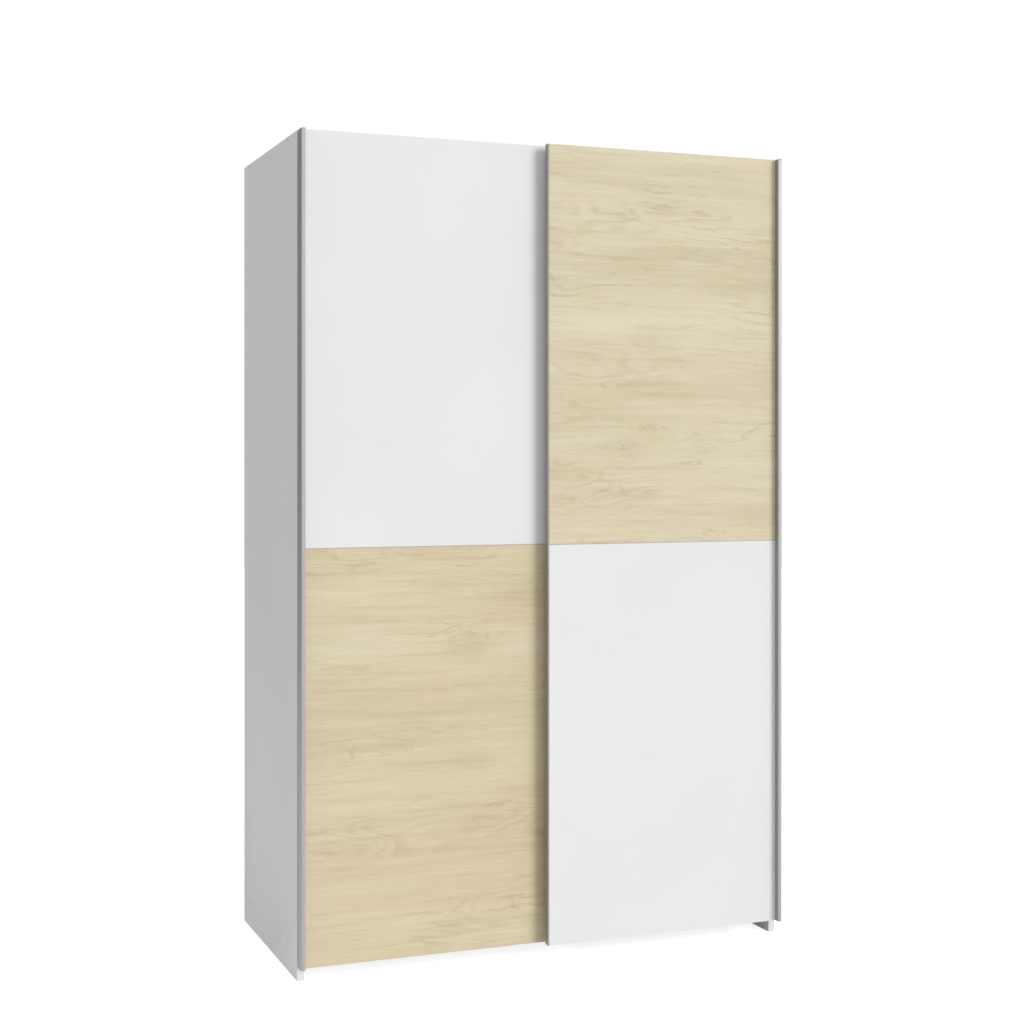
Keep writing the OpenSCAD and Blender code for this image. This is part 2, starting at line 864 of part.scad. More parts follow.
module left_door_guides() {
    color(steel) left_place() guides(rear_plate_y, rear_guide_z, rear_wheel_y);
}

module left_door_screws() {
    color(steel) left_place() door_screws(rear_plate_y);
}

module left_door_grip_caps() {
    color(grey) left_place() grip_caps();
}

module right_door_upper_panel() {
    color(oak) right_place() upper_panel(front_plate_y);
}

module right_door_lower_panel() {
    color(white) right_place() lower_panel(front_plate_y);
}

module right_door_grip() {
    color(grey) right_place() grip();
}

module right_door_grip_screws() {
    color(steel) right_place() grip_screws();
}

module right_door_inner_stile() {
    color(grey) right_place() inner_stile();
}

module right_door_joint_strip() {
    color(grey) right_place() joint_strip();
}

module right_door_hangers() {
    color(steel) right_place() hangers(front_plate_y, front_arm_z, front_wheel_y);
}

module right_door_axles() {
    color(steel) right_place() axles(front_wheel_y);
}

module right_door_outer_roller() {
    color(nylon) right_place() roller(roller_us[0], front_wheel_y);
}

module right_door_inner_roller() {
    color(nylon) right_place() roller(roller_us[1], front_wheel_y);
}

module right_door_guides() {
    color(steel) right_place() guides(front_plate_y, front_guide_z, front_wheel_y);
}

module right_door_screws() {
    color(steel) right_place() door_screws(front_plate_y);
}

module right_door_grip_caps() {
    color(grey) right_place() grip_caps();
}

left_side_panel();
right_side_panel();
top_panel();
bottom_panel();
track_board();
centre_divider();
rear_plinth();
back_panel_left();
back_panel_right();
back_joining_profile();
hat_shelf();
hanging_rail();
rail_supports();
shelf_1();
shelf_2();
shelf_3();
shelf_4();
shelf_pins();
carcass_screws();
screw_caps();
dowels();
cam_locks();
cam_bolts();
back_nails();
top_track();
bottom_guide_rail();
track_end_stops();
centre_foot();
wall_brackets();
fitting_screws();
left_door_upper_panel();
left_door_lower_panel();
left_door_grip();
left_door_grip_screws();
left_door_inner_stile();
left_door_joint_strip();
left_door_hangers();
left_door_axles();
left_door_outer_roller();
left_door_inner_roller();
left_door_guides();
left_door_screws();
left_door_grip_caps();
right_door_upper_panel();
right_door_lower_panel();
right_door_grip();
right_door_grip_screws();
right_door_inner_stile();
right_door_joint_strip();
right_door_hangers();
right_door_axles();
right_door_outer_roller();
right_door_inner_roller();
right_door_guides();
right_door_screws();
right_door_grip_caps();
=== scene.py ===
# Sliding door wardrobe: white and pale oak boards, grey grip profiles, hung doors on rollers.
import bmesh
import bpy
import json
import math
import numpy as np
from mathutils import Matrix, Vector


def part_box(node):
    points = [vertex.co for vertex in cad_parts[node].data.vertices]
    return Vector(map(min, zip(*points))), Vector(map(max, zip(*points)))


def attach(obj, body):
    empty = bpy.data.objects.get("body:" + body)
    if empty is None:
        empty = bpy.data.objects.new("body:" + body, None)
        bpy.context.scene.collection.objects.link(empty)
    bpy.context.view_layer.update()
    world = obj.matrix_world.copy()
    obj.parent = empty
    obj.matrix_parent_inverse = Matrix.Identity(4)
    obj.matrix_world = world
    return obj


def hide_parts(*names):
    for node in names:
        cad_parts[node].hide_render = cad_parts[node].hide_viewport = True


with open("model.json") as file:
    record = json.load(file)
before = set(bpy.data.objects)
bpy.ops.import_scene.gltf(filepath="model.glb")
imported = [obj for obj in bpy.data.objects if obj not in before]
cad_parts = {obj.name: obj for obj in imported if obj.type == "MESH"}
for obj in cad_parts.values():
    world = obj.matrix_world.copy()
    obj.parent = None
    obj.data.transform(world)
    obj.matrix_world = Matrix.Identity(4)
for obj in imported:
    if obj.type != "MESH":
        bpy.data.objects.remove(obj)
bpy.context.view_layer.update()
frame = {"nodes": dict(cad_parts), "record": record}
nodes = frame["nodes"]
bodies = frame["record"]["behaviour"]["bodies"]
bodyOf = {node: body for body, members in bodies.items() for node in members}
slotOf = {row["node"]: row["material_slot"] for row in frame["record"]["subparts"]}
print("frame loaded:", len(nodes), "nodes")


# Camera

cameraSettings = {
    "place": (-1.5435, -3.9618, 1.1736),   # metres, eye height a little over the middle
    "turn": -21.39,                        # degrees about Z, looking towards the right-hand door
    "lens": 59.93,
    "shiftY": -0.0538,                     # level camera, framed a little lower
}


def makeCamera(settings):
    # A level camera, turned about Z only, so that uprights stay upright.
    data = bpy.data.cameras.new("camera")
    data.lens = settings["lens"]
    data.shift_y = settings["shiftY"]
    data.clip_end = 60
    camera = bpy.data.objects.new("camera", data)
    camera.location = settings["place"]
    camera.rotation_euler = (math.pi / 2, 0, math.radians(settings["turn"]))
    bpy.context.scene.collection.objects.link(camera)
    bpy.context.scene.camera = camera


makeCamera(cameraSettings)


# Small helpers for node trees

def linear(red, green, blue):
    # Scene-linear colour of an sRGB colour from 0 to 255.
    # The curve is ((c + 0.055) / 1.055) ** 2.4, or c / 12.92 where it is dark.
    channels = np.array([red, green, blue]) / 255
    curve = np.where(channels > 0.04045, ((channels + 0.055) / 1.055) ** 2.4, channels / 12.92)
    return (*[float(c) for c in curve], 1.0)


def addNode(tree, kind, **settings):
    node = tree.nodes.new(kind)
    for key, value in settings.items():
        setattr(node, key, value)
    return node


def wire(tree, source, target):
    tree.links.new(source, target)


def feed(tree, socket, value):
    # Sets a socket from a number or tuple, or links it from another socket.
    if isinstance(value, bpy.types.NodeSocket):
        wire(tree, value, socket)
    else:
        socket.default_value = value


def maths(tree, operation, first, second=0.0, clamp=False):
    node = addNode(tree, "ShaderNodeMath", operation=operation, use_clamp=clamp)
    feed(tree, node.inputs[0], first)
    feed(tree, node.inputs[1], second)
    return node.outputs[0]


def ramp(tree, value, low, high, lowOut=0.0, highOut=1.0):
    # Smoothstep of value from low to high, carried to lowOut and highOut.
    node = addNode(tree, "ShaderNodeMapRange", interpolation_type="SMOOTHSTEP")
    feed(tree, node.inputs["Value"], value)
    ends = {"From Min": low, "From Max": high, "To Min": lowOut, "To Max": highOut}
    for name, number in ends.items():
        feed(tree, node.inputs[name], number)
    return node.outputs["Result"]


def stretch(tree, vector, scale, place=(0, 0, 0)):
    node = addNode(tree, "ShaderNodeMapping")
    feed(tree, node.inputs["Vector"], vector)
    node.inputs["Scale"].default_value = scale
    node.inputs["Location"].default_value = place
    return node.outputs["Vector"]


def noise(tree, vector, scale=1.0, detail=2.0, roughness=0.5, distortion=0.0):
    node = addNode(tree, "ShaderNodeTexNoise")
    feed(tree, node.inputs["Vector"], vector)
    feed(tree, node.inputs["Scale"], scale)
    node.inputs["Detail"].default_value = detail
    node.inputs["Roughness"].default_value = roughness
    node.inputs["Distortion"].default_value = distortion
    return node.outputs[0]


def mixColour(tree, factor, first, second):
    node = addNode(tree, "ShaderNodeMix", data_type="RGBA", blend_type="MIX")
    feed(tree, node.inputs[0], factor)
    feed(tree, node.inputs[6], first)
    feed(tree, node.inputs[7], second)
    return node.outputs[2]


def newGroup(name, inputs, outputs):
    # An empty shader node group; inputs and outputs are (name, socket type, default) rows.
    tree = bpy.data.node_groups.new(name, "ShaderNodeTree")
    for inOut, rows in (("INPUT", inputs), ("OUTPUT", outputs)):
        for label, kind, default in rows:
            socket = tree.interface.new_socket(label, in_out=inOut, socket_type=kind)
            if default is not None:
                socket.default_value = default
    return tree, addNode(tree, "NodeGroupInput").outputs, addNode(tree, "NodeGroupOutput").inputs


def placeGroup(tree, group, **values):
    node = addNode(tree, "ShaderNodeGroup", node_tree=group)
    for key, value in values.items():
        feed(tree, node.inputs[key], value)
    return node.outputs


# Shared effects

oakLayers = {
    # noise layers of the decor: stretch, place, detail, roughness, distortion
    "knotEdge": ((45.0, 1.0, 110.0), (0, 0, 0), 2.0, 0.5, 0.0),
    "slowBend": ((1.7, 1.0, 8.0), (0, 0, 0), 2.5, 0.55, 0.2),
    "fineBend": ((13.0, 1.0, 46.0), (0, 0, 0), 2.5, 0.6, 0.0),
    "linePatches": ((2.4, 1.0, 8.5), (3.7, 0, 1.9), 2.0, 0.5, 0.0),
    "lineBreaks": ((9.0, 1.0, 60.0), (0.9, 0, 2.2), 2.0, 0.5, 0.0),
    "loops": ((3.3, 1.0, 15.0), (8.1, 0, 5.7), 2.0, 0.5, 0.5),
    "loopPatches": ((1.9, 1.0, 6.5), (2.2, 0, 7.4), 1.0, 0.5, 0.0),
    "bands": ((0.8, 1.0, 9.5), (0.4, 0, 0.7), 3.0, 0.55, 0.0),
    "rosyClouds": ((1.1, 1.0, 6.0), (5.1, 0, 3.3), 2.0, 0.5, 0.0),
    "streaks": ((4.0, 1.0, 75.0), (0, 0, 0), 4.0, 0.65, 0.0),
    "dashes": ((24.0, 1.0, 330.0), (0, 0, 0), 2.0, 0.55, 0.0),
    "dashPatches": ((3.0, 1.0, 24.0), (1.3, 0, 4.1), 2.0, 0.5, 0.0),
}

oakFigure = {
    "knotCells": (3.4, 1.0, 7.0),       # cells to a metre, along and across the grain
    "cellsWithoutKnot": 0.44,           # share of them
    "knotEye": (0.16, 0.11, 0.06, 1),
    "linesPerMetre": 36.0,              # F below
    "slowPull": 8.5,                    # W below, in lines
    "knotTurn": 2.6,                    # lines that a knot pushes aside
    "loopRadians": 62.0,                # turn of the loops' sine over the noise's range
}

oakShades = {
    # how strongly each part of the figure shows
    "lightBands": 0.48,
    "darkBands": 0.20,
    "rosyClouds": 0.65,
    "darkStreaks": 0.17,
    "lightStreaks": 0.38,
    "lines": 0.30,
    "loopShade": 0.10,
    "loops": 0.19,
    "pores": 0.28,
    "paleDashes": 0.40,
    "knots": 0.15,
    "knotEyes": 0.6,
}


def makeOakGrain():
    # Grain along X. Growth lines are sin(2 pi (z F + W noise)), so they run level and bend into
    # tips where the noise is steep. Bands, streaks, short dashes and small knots lie over them.
    tree, given, out = newGroup(
        "oakGrain",
        [("Vector", "NodeSocketVector", None), ("Base", "NodeSocketColor", (0.7, 0.6, 0.45, 1)),
         ("Dark", "NodeSocketColor", (0.5, 0.4, 0.3, 1)),
         ("Light", "NodeSocketColor", (0.8, 0.7, 0.55, 1)),
         ("Rosy", "NodeSocketColor", (0.7, 0.55, 0.45, 1))],
        [("Color", "NodeSocketColor", None), ("Height", "NodeSocketFloat", None),
         ("Pores", "NodeSocketFloat", None)])
    vector = given["Vector"]

    def layer(name):
        scale, place, detail, roughness, distortion = oakLayers[name]
        return noise(tree, stretch(tree, vector, scale, place), 1.0, detail, roughness, distortion)

    def times(first, second):
        return maths(tree, "MULTIPLY", first, second)

    def plus(first, second):
        return maths(tree, "ADD", first, second)

    # knots: one in a cell of a stretched Voronoi grid, kept only in some of the cells
    cells = addNode(tree, "ShaderNodeTexVoronoi", feature="F1", distance="EUCLIDEAN")
    wire(tree, stretch(tree, vector, oakFigure["knotCells"]), cells.inputs["Vector"])
    cells.inputs["Scale"].default_value = 1.0
    near = plus(cells.outputs["Distance"], ramp(tree, layer("knotEdge"), 0.3, 0.7, -0.03, 0.03))
    chance = addNode(tree, "ShaderNodeSeparateColor")
    wire(tree, cells.outputs["Color"], chance.inputs[0])
    without = oakFigure["cellsWithoutKnot"]
    keep = ramp(tree, chance.outputs[0], without - 0.02, without + 0.02)
    knotPull = times(ramp(tree, near, 0.34, 0.03), keep)
    knotEye = times(ramp(tree, near, 0.050, 0.028), keep)

    # growth lines
    height = addNode(tree, "ShaderNodeSeparateXYZ")
    wire(tree, vector, height.inputs[0])
    fine = layer("fineBend")
    patches = ramp(tree, layer("linePatches"), 0.45, 0.64)
    phase = plus(times(height.outputs[2], oakFigure["linesPerMetre"]),
                 times(layer("slowBend"), oakFigure["slowPull"]))
    phase = plus(phase, times(fine, plus(patches, 0.9)))
    phase = plus(phase, times(knotPull, oakFigure["knotTurn"]))
    wave = maths(tree, "SINE", times(phase, 2 * math.pi))
    broken = ramp(tree, layer("lineBreaks"), 0.38, 0.62)
    lines = times(ramp(tree, wave, 0.55, 1.0), times(patches, broken))

    # loops: the sine of a second noise, many turns over its range, makes closed contours
    loopField = plus(layer("loops"), times(fine, 0.05))
    loopWave = maths(tree, "SINE", times(loopField, oakFigure["loopRadians"]))
    loopWhere = ramp(tree, layer("loopPatches"), 0.52, 0.64)
    loops = times(ramp(tree, loopWave, 0.70, 1.0), times(loopWhere, broken))
    loopShade = times(ramp(tree, loopWave, -1.0, 1.0), loopWhere)

    # bands, streaks and dashes
    bands, rosy, streaks = layer("bands"), layer("rosyClouds"), layer("streaks")
    dashes, dashWhere = layer("dashes"), layer("dashPatches")
    pores = times(ramp(tree, dashes, 0.57, 0.72), ramp(tree, dashWhere, 0.40, 0.66))
    pale = times(ramp(tree, dashes, 0.44, 0.28), ramp(tree, dashWhere, 0.62, 0.42))

    # colour: each mask in turn mixes one of the given colours in
    eyeColour = mixColour(tree, 0.5, given["Dark"], oakFigure["knotEye"])
    colour = given["Base"]
    for mask, tone in (
            (ramp(tree, bands, 0.50, 0.72, 0.0, oakShades["lightBands"]), given["Light"]),
            (ramp(tree, bands, 0.49, 0.28, 0.0, oakShades["darkBands"]), given["Dark"]),
            (ramp(tree, rosy, 0.44, 0.66, 0.0, oakShades["rosyClouds"]), given["Rosy"]),
            (ramp(tree, streaks, 0.50, 0.32, 0.0, oakShades["darkStreaks"]), given["Dark"]),
            (ramp(tree, streaks, 0.53, 0.70, 0.0, oakShades["lightStreaks"]), given["Light"]),
            (times(lines, oakShades["lines"]), given["Dark"]),
            (times(loopShade, oakShades["loopShade"]), given["Dark"]),
            (times(loops, oakShades["loops"]), given["Dark"]),
            (times(pores, oakShades["pores"]), given["Dark"]),
            (times(pale, oakShades["paleDashes"]), given["Light"]),
            (times(knotPull, oakShades["knots"]), given["Dark"]),
            (times(knotEye, oakShades["knotEyes"]), eyeColour)):
        colour = mixColour(tree, mask, colour, tone)
    wire(tree, colour, out["Color"])
    relief = maths(tree, "SUBTRACT", streaks, times(pores, 0.8))
    wire(tree, maths(tree, "SUBTRACT", relief, times(lines, 0.3)), out["Height"])
    wire(tree, pores, out["Pores"])
    return tree


def makePearl():
    # Fine pebbled texture of a pressed laminate, with faint clouds of tone: two noises.
    tree, given, out = newGroup(
        "pearlTexture",
        [("Vector", "NodeSocketVector", None), ("Tone", "NodeSocketColor", (0.8, 0.8, 0.8, 1)),
         ("Shade", "NodeSocketColor", (0.7, 0.7, 0.7, 1)), ("Grain", "NodeSocketFloat", 900.0)],
        [("Color", "NodeSocketColor", None), ("Height", "NodeSocketFloat", None),
         ("Rough", "NodeSocketFloat", None)])
    clouds = noise(tree, given["Vector"], 2.3, 3.0, 0.5)
    tone = mixColour(tree, ramp(tree, clouds, 0.35, 0.7), given["Tone"], given["Shade"])
    wire(tree, tone, out["Color"])
    wire(tree, noise(tree, given["Vector"], given["Grain"], 1.0), out["Height"])
    wire(tree, ramp(tree, clouds, 0.3, 0.7, 0.52, 0.60), out["Rough"])
    return tree


def makeBrushed():
    # Drawn-metal lines: noise on a Vector that is already squeezed across the drawing direction.
    tree, given, out = newGroup(
        "brushedLines",
        [("Vector", "NodeSocketVector", None), ("Tone", "NodeSocketColor", (0.6, 0.6, 0.6, 1)),
         ("Shade", "NodeSocketColor", (0.5, 0.5, 0.5, 1)), ("Smooth", "NodeSocketFloat", 0.3)],
        [("Color", "NodeSocketColor", None), ("Height", "NodeSocketFloat", None),
         ("Rough", "NodeSocketFloat", None)])
    lines = noise(tree, given["Vector"], 1.0, 3.0, 0.6)
    clouds = noise(tree, given["Vector"], 0.07, 2.0, 0.5)
    both = maths(tree, "MULTIPLY", maths(tree, "ADD", lines, clouds), 0.5)
    tone = mixColour(tree, ramp(tree, both, 0.38, 0.62), given["Tone"], given["Shade"])
    wire(tree, tone, out["Color"])
    wire(tree, lines, out["Height"])
    roughness = maths(tree, "ADD", given["Smooth"], ramp(tree, both, 0.35, 0.65, -0.04, 0.06))
    wire(tree, roughness, out["Rough"])
    return tree


def makeEdgeWear():
    # Mask of rubbed edges: bevelled normal against the true normal, broken up by noise.
    tree, given, out = newGroup(
        "edgeRub",
        [("Vector", "NodeSocketVector", None), ("Scale", "NodeSocketFloat", 60.0),
         ("Width", "NodeSocketFloat", 0.0008), ("Amount", "NodeSocketFloat", 0.5)],
        [("Mask", "NodeSocketFloat", None)])
    bevel = addNode(tree, "ShaderNodeBevel", samples=4)
    wire(tree, given["Width"], bevel.inputs["Radius"])
    geometry = addNode(tree, "ShaderNodeNewGeometry")
    dot = addNode(tree, "ShaderNodeVectorMath", operation="DOT_PRODUCT")
    wire(tree, bevel.outputs["Normal"], dot.inputs[0])
    wire(tree, geometry.outputs["Normal"], dot.inputs[1])
    patchy = noise(tree, given["Vector"], given["Scale"])
    edge = ramp(tree, dot.outputs["Value"], 0.995, 0.90)
    mask = maths(tree, "MULTIPLY", edge, ramp(tree, patchy, 0.40, 0.62))
    wire(tree, maths(tree, "MULTIPLY", mask, given["Amount"], clamp=True), out["Mask"])
    return tree


oakGrain = makeOakGrain()
pearlTexture = makePearl()
brushedLines = makeBrushed()
edgeRub = makeEdgeWear()


# Materials

def newMaterial(name, metallic=0.0, specular=0.5):
    material = bpy.data.materials.new(name)
    material.use_nodes = True
    tree = material.node_tree
    shader = tree.nodes["Principled BSDF"]
    shader.inputs["Metallic"].default_value = metallic
    shader.inputs["Specular IOR Level"].default_value = specular
    where = addNode(tree, "ShaderNodeTexCoord").outputs["Object"]
    return material, tree, shader, where


def addBump(tree, shader, height, strength, distance):
    bump = addNode(tree, "ShaderNodeBump")
    bump.inputs["Strength"].default_value = strength
    bump.inputs["Distance"].default_value = distance
    wire(tree, height, bump.inputs["Height"])
    wire(tree, bump.outputs["Normal"], shader.inputs["Normal"])


def laminate(name, tone, shade, rubbed, grain=700.0, strength=0.12):
    # White or coloured melamine: pearl texture, faint clouds and slightly rubbed arrises.
    material, tree, shader, where = newMaterial(name, specular=0.2)
    pearl = placeGroup(tree, pearlTexture, Vector=where, Tone=tone, Shade=shade, Grain=grain)
    rub = placeGroup(tree, edgeRub, Vector=where, Scale=45.0, Width=0.0009, Amount=0.35)
    wire(tree, mixColour(tree, rub["Mask"], pearl["Color"], rubbed), shader.inputs["Base Color"])
    wire(tree, pearl["Rough"], shader.inputs["Roughness"])
    addBump(tree, shader, pearl["Height"], strength, 0.0002)
    return material


oakTones = {
    "Base": (226, 214, 182),
    "Dark": (178, 157, 117),
    "Light": (236, 229, 204),
    "Rosy": (226, 207, 178),    # sRGB from 0 to 255, as for every colour given to linear()
}


def oakLaminate(name, place, offset=(0, 0, 0)):
    # Pale oak decor with the grain along X; place moves each board to its own stretch of the decor,
    # and offset is added to its red, green and blue, because no two boards are quite alike.
    material, tree, shader, where = newMaterial(name, specular=0.15)
    tones = {part: linear(*(np.array(tone) + offset)) for part, tone in oakTones.items()}
    moved = stretch(tree, where, (1, 1, 1), place)
    grain = placeGroup(tree, oakGrain, Vector=moved, **tones)
    wire(tree, grain["Color"], shader.inputs["Base Color"])
    wire(tree, ramp(tree, grain["Pores"], 0.0, 1.0, 0.54, 0.66), shader.inputs["Roughness"])
    addBump(tree, shader, grain["Height"], 0.18, 0.0003)
    return material


def drawnMetal(name, tone, shade, smooth, metallic, squeeze, strength=0.08):
    # Metal with fine drawing lines: squeeze is large across them and small along them.
    material, tree, shader, where = newMaterial(name, metallic=metallic)
    lines = placeGroup(tree, brushedLines, Vector=stretch(tree, where, squeeze),
                       Tone=tone, Shade=shade, Smooth=smooth)
    rub = placeGroup(tree, edgeRub, Vector=where, Scale=80.0, Width=0.0005, Amount=0.5)
    bright = mixColour(tree, rub["Mask"], lines["Color"], tone)
    wire(tree, bright, shader.inputs["Base Color"])
    wire(tree, lines["Rough"], shader.inputs["Roughness"])
    addBump(tree, shader, lines["Height"], strength, 0.0001)
    return material


finishes = {
    "white_board": laminate("whiteMelamine", linear(243, 243, 244), linear(240, 240, 241),
                            linear(228, 226, 222)),
    "white_plastic": laminate("whitePlastic", linear(240, 240, 238), linear(234, 234, 231),
                              linear(222, 221, 217), 1400.0, 0.08),
    "grey_plastic": laminate("greyPlastic", linear(150, 150, 149), linear(138, 138, 137),
                             linear(168, 168, 166), 1100.0, 0.25),
    "nylon": laminate("rollerNylon", linear(232, 232, 224), linear(222, 221, 210),
                      linear(205, 203, 192), 1600.0, 0.06),
    "grey_profile": drawnMetal("greySatinProfile", linear(163, 163, 162), linear(154, 154, 154),
                               0.52, 0.65, (900, 900, 3)),
    "zinc_steel": drawnMetal("zincPlate", linear(196, 198, 202), linear(166, 169, 174),
                             0.30, 0.9, (60, 60, 60), 0.05),
    "chrome_tube": drawnMetal("chromeTube", linear(214, 215, 218), linear(204, 205, 208),
                              0.12, 1.0, (3, 900, 900), 0.02),
    "beech": oakLaminate("beechDowel", (0.2, 0.0, 0.6)),
}
capPlastic = laminate("capPlastic", linear(226, 226, 224), linear(220, 220, 218),
                      linear(206, 206, 204), 1400.0, 0.08)
leftOak = oakLaminate("oakLeftDoor", (0.35, 0.0, 0.10), (-1.5, -2, -3.5))
rightOak = oakLaminate("oakRightDoor", (2.10, 0.0, -2.35), (2, 3, 4))
print("materials made:", len(finishes) + 3)


def finishFor(node):
    if node == "screw_caps":
        return capPlastic    # a shade darker than the boards, so that the caps can be made out
    if slotOf[node] == "oak_board":
        return leftOak if node.startswith("left") else rightOak
    return finishes[slotOf[node]]


def dress(obj, material):
    obj.data.materials.clear()
    obj.data.materials.append(material)


# Surfaces

def ringQuads(rings, around):
    # Four-cornered faces between each ring and the next: with n places around, place j of ring i is
    # point i n + j, and the place after the last one is the first.
    i, j = np.meshgrid(np.arange(rings - 1), np.arange(around), indexing="ij")
    k = (j + 1) % around
    corners = [i * around + j, i * around + k, (i + 1) * around + k, (i + 1) * around + j]
    return np.stack(corners, -1).reshape(-1, 4)


def newPiece(name, grid, node, capEnds=True):
    # A surface through grid[i, j], the point of ring i at place j, each ring joined to the next.
    # The ends are closed with one face each. It stands for node and rides on its body.
    rings, around = grid.shape[:2]
    faces = ringQuads(rings, around).tolist()
    if capEnds:
        faces.append(list(range(around))[::-1])
        faces.append(list(range((rings - 1) * around, rings * around)))
    mesh = bpy.data.meshes.new(name)
    mesh.from_pydata(grid.reshape(-1, 3).tolist(), [], faces)
    mesh.polygons.foreach_set("use_smooth", np.zeros(len(mesh.polygons), bool))
    obj = bpy.data.objects.new(name, mesh)
    bpy.context.scene.collection.objects.link(obj)
    return finishPiece(obj, node)


def finishPiece(obj, node):
    # Normals outwards, the node's material, then the frame's calls for a piece that stands for it.
    work = bmesh.new()
    work.from_mesh(obj.data)
    bmesh.ops.recalc_face_normals(work, faces=work.faces)
    work.to_mesh(obj.data)
    work.free()
    dress(obj, finishFor(node))
    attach(obj, bodyOf[node])
    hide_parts(node)
    return obj


def roundedOutline(corners, radius, steps):
    # Corner p becomes a soft round between A and B, the points on its two sides at radius from it:
    # (1-t)^2 A + 2 t (1-t) p + t^2 B, worked out for all the corners at once.
    p = np.asarray(corners, float)
    u = np.roll(p, 1, 0) - p
    v = np.roll(p, -1, 0) - p
    uLength, vLength = np.linalg.norm(u, axis=1), np.linalg.norm(v, axis=1)
    mostOfASide = 0.45
    reach = np.minimum(radius, mostOfASide * np.minimum(uLength, vLength))[:, None]
    a = p + u / uLength[:, None] * reach
    b = p + v / vLength[:, None] * reach
    t = np.linspace(0, 1, steps)[None, :, None]
    arcs = (1 - t) ** 2 * a[:, None] + 2 * t * (1 - t) * p[:, None] + t ** 2 * b[:, None]
    return arcs.reshape(-1, 2)


def sweptBar(name, node, outline, low, high, ease):
    # The outline in X and Y carried from low to high along Z. At each end the rings shrink by
    # ease (1 - sin t) at a distance of ease (1 - cos t) from it, which is a quarter round.
    angle = np.linspace(0, math.pi / 2, 4)
    inset = ease * (1 - np.sin(angle))
    run = ease * (1 - np.cos(angle))
    stations = np.concatenate([low + run, (high - run)[::-1]])
    insets = np.concatenate([inset, inset[::-1]])
    following = np.roll(outline, -1, 0)
    n = following - np.roll(outline, 1, 0)
    area = np.sum(outline[:, 0] * following[:, 1] - following[:, 0] * outline[:, 1])
    inward = np.stack([-n[:, 1], n[:, 0]], 1) / np.maximum(np.linalg.norm(n, axis=1), 1e-9)[:, None]
    inward = inward * (1 if area > 0 else -1)
    rings = outline[None] + inward[None] * insets[:, None, None]
    grid = np.zeros((len(stations), len(outline), 3))
    grid[..., :2] = rings
    grid[..., 2] = stations[:, None]
    newPiece(name, grid, node)


easing = {
    "mergeWithin": 1e-6,
    "flatWithin": 0.5,     # degrees between faces that are joined into one
    "sharpFrom": 50,       # degrees from which an edge is eased
    "segments": 2,
}


def easedCopy(node, width):
    # The node's own solid with its sharp edges rounded by a Bevel of the given width, in metres.
    source = nodes[node]
    obj = bpy.data.objects.new(node + "_eased", source.data.copy())
    bpy.context.scene.collection.objects.link(obj)
    work = bmesh.new()
    work.from_mesh(obj.data)
    bmesh.ops.remove_doubles(work, verts=work.verts, dist=easing["mergeWithin"])
    bmesh.ops.dissolve_limit(work, angle_limit=math.radians(easing["flatWithin"]),
                             verts=work.verts, edges=work.edges)
    work.to_mesh(obj.data)
    work.free()
    bevel = obj.modifiers.new("easedEdges", "BEVEL")
    bevel.width = width
    bevel.segments = easing["segments"]
    bevel.limit_method = "ANGLE"
    bevel.angle_limit = math.radians(easing["sharpFrom"])
    bevel.use_clamp_overlap = True
    finishPiece(obj, node)
    obj.data.polygons.foreach_set("use_smooth", np.zeros(len(obj.data.polygons), bool))


# Boards

boards = {
    "edge": 0.0005,      # rounding of a banded edge
    "backEdge": 0.0003,  # rounding of the thin back panels
}
for boardNode in [n for n in nodes if slotOf[n] in ("white_board", "oak_board")]:
    easedCopy(boardNode, boards["backEdge"] if boardNode.startswith("back_") else boards["edge"])
print("boards eased")


# Grips and edge profiles

profiles = {
    "wall": 0.0015,          # web of the grip, outside the panel's edge
    "boardGap": 0.0001,      # between the grip's legs and the panel
    "radius": 0.0007,        # of the grip's long edges
    "ease": 0.0002,          # of both profiles' ends
    "stileRadius": 0.0005,   # of the inner edge profile's long edges
    "stileFace": 0.002,      # thickness of its face
    "stileTongue": 0.0014,   # half the thickness of the tongue behind it
    "arcSteps": 5,
}


def makeGrip(side):
    # U-shaped profile with a square bar in front: outline in X and Y, carried along Z.
    node = side + "_door_grip"
    low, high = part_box(node)
    panelLow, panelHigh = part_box(side + "_door_upper_panel")
    outer, inner = (low.x, high.x) if side == "left" else (high.x, low.x)
    sign = 1 if side == "left" else -1
    web = outer + sign * profiles["wall"]
    front, back = low.y, high.y
    frontLeg, backLeg = panelLow.y - profiles["boardGap"], panelHigh.y + profiles["boardGap"]
    corners = [(outer, front), (inner, front), (inner, frontLeg), (web, frontLeg),
               (web, backLeg), (inner, backLeg), (inner, back), (outer, back)]
    outline = roundedOutline(corners, profiles["radius"], profiles["arcSteps"])
    sweptBar(node + "_profile", node, outline, low.z, high.z, profiles["ease"])


def makeStile(side):
    # Flat edge strip with softly rounded long edges and a tongue into the panels' groove.
    node = side + "_door_inner_stile"
    low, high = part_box(node)
    sign = 1 if side == "left" else -1
    face = high.x if side == "left" else low.x
    root = face - sign * profiles["stileFace"]
    tip = low.x if side == "left" else high.x
    middle = (low.y + high.y) / 2
    half = profiles["stileTongue"]
    corners = [(face, low.y), (face, high.y), (root, high.y), (root, middle + half),
               (tip, middle + half), (tip, middle - half), (root, middle - half), (root, low.y)]
    outline = roundedOutline(corners, profiles["stileRadius"], profiles["arcSteps"])
    sweptBar(node + "_profile", node, outline, low.z, high.z, profiles["ease"])


for doorSide in ("left", "right"):
    makeGrip(doorSide)
    makeStile(doorSide)
print("grips and edge profiles swept")


# Rollers and the hanging rail

